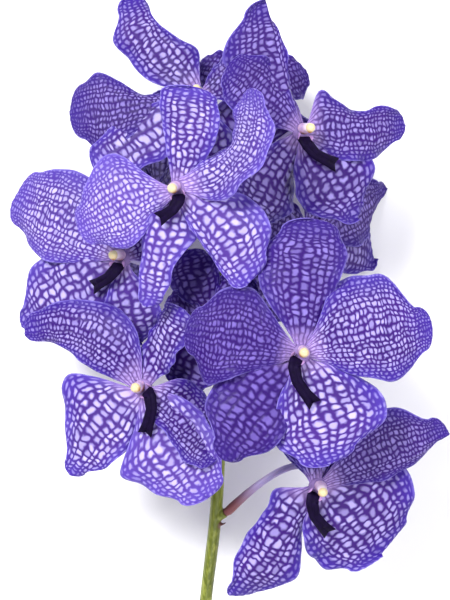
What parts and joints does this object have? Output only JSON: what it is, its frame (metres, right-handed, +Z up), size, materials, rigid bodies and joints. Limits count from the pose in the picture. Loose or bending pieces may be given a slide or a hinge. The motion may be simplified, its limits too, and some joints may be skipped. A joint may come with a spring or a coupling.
{
  "type": "vanda orchid flower spray",
  "caption": "Cut spray of a blue vanda orchid with netted violet tepals, dark lips and a bare green stalk, laid on its back.",
  "frame": {"origin": "on the table under the middle of the footprint", "axes": "+X to the right and +Y from the cut end towards the top bloom as seen from above, +Z up from the table"},
  "size_m": [0.1731, 0.3115, 0.1086],
  "materials": {
    "tepals": "soft waxy petal with a violet net over pale lavender cells",
    "column": "fleshy, mauve with brown specks",
    "anther cap": "satin cream",
    "lip": "fleshy, near-black indigo, slight gloss",
    "pedicel": "pale mauve, reddish brown at its foot",
    "flower stalk": "olive green, slightly waxy"
  },
  "bodies": {
    "root": {"flower_stalk": "flower stalk", "perianth_1": "tepals", "column_1": "column", "anther_cap_1": "anther cap", "lip_1": "lip", "pedicel_1": "pedicel", "perianth_2": "tepals", "column_2": "column", "anther_cap_2": "anther cap", "lip_2": "lip", "pedicel_2": "pedicel", "perianth_3": "tepals", "column_3": "column", "anther_cap_3": "anther cap", "lip_3": "lip", "pedicel_3": "pedicel", "perianth_4": "tepals", "column_4": "column", "anther_cap_4": "anther cap", "lip_4": "lip", "pedicel_4": "pedicel", "perianth_5": "tepals", "column_5": "column", "anther_cap_5": "anther cap", "lip_5": "lip", "pedicel_5": "pedicel", "perianth_6": "tepals", "column_6": "column", "anther_cap_6": "anther cap", "lip_6": "lip", "pedicel_6": "pedicel", "perianth_7": "tepals", "column_7": "column", "anther_cap_7": "anther cap", "lip_7": "lip", "pedicel_7": "pedicel", "perianth_8": "tepals", "column_8": "column", "anther_cap_8": "anther cap", "lip_8": "lip", "pedicel_8": "pedicel", "perianth_9": "tepals", "column_9": "column", "anther_cap_9": "anther cap", "lip_9": "lip", "pedicel_9": "pedicel", "perianth_10": "tepals", "column_10": "column", "anther_cap_10": "anther cap", "lip_10": "lip", "pedicel_10": "pedicel", "perianth_11": "tepals", "column_11": "column", "anther_cap_11": "anther cap", "lip_11": "lip", "pedicel_11": "pedicel"}
  },
  "joints": []
}
